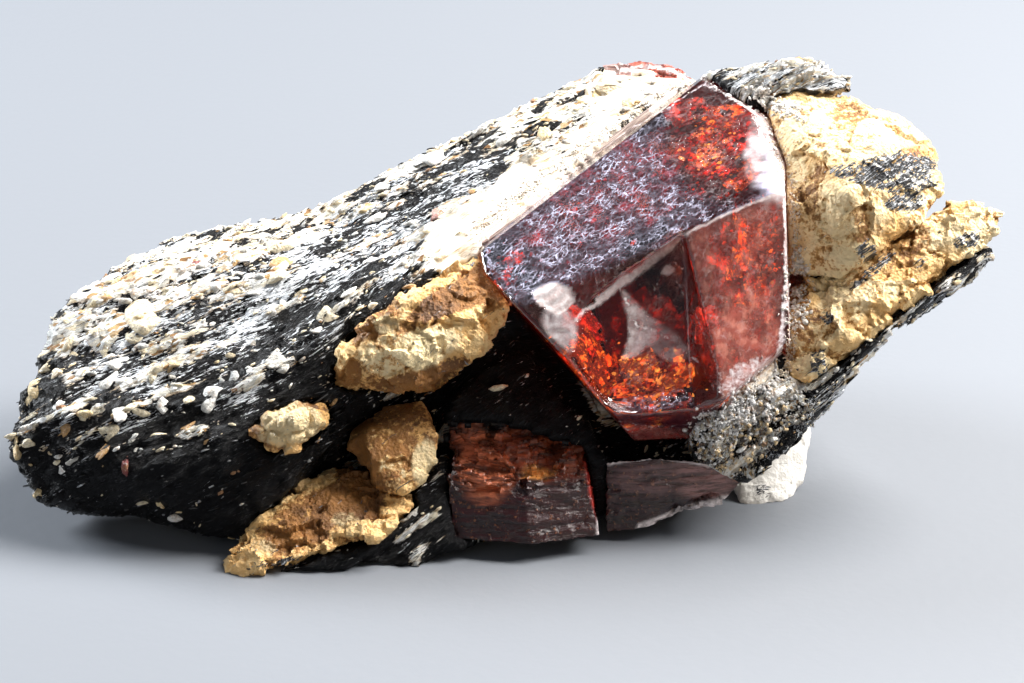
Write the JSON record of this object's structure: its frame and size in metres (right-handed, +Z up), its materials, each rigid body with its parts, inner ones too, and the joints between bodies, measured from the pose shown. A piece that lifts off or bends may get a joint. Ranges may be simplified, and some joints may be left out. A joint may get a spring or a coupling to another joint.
{
  "type": "zircon on biotite",
  "caption": "Red zircon crystals and feldspar lumps grown in a lens of dark, foliated biotite rock, resting on its flat feet",
  "frame": {"origin": "middle of the bounding box at the base, on the surface the specimen rests on", "axes": "+X along the length towards the pointed feldspar tongue, +Y away from the show side that carries the big crystal, +Z up"},
  "size_m": [0.0641, 0.0361, 0.0259],
  "materials": {
    "biotite_matrix": "rough, glinting mica",
    "zircon_main": "glassy, clear red",
    "zircon_lower_left": "glassy, broken top",
    "zircon_lower_right": "glassy, striated",
    "zircon_rear": "glassy",
    "feldspar_lens": "rough, cleaved",
    "feldspar_knob": "rough, cleaved",
    "feldspar_ledge": "rough, cleaved",
    "feldspar_nugget": "rough",
    "feldspar_shoulder": "rough",
    "feldspar_tongue": "rough",
    "feldspar_foot": "chalky"
  },
  "bodies": {
    "root": {"biotite_matrix": "biotite_matrix", "zircon_main": "zircon_main", "zircon_lower_left": "zircon_lower_left", "zircon_lower_right": "zircon_lower_right", "zircon_rear": "zircon_rear", "feldspar_lens": "feldspar_lens", "feldspar_knob": "feldspar_knob", "feldspar_ledge": "feldspar_ledge", "feldspar_nugget": "feldspar_nugget", "feldspar_shoulder": "feldspar_shoulder", "feldspar_tongue": "feldspar_tongue", "feldspar_foot": "feldspar_foot"}
  },
  "joints": []
}
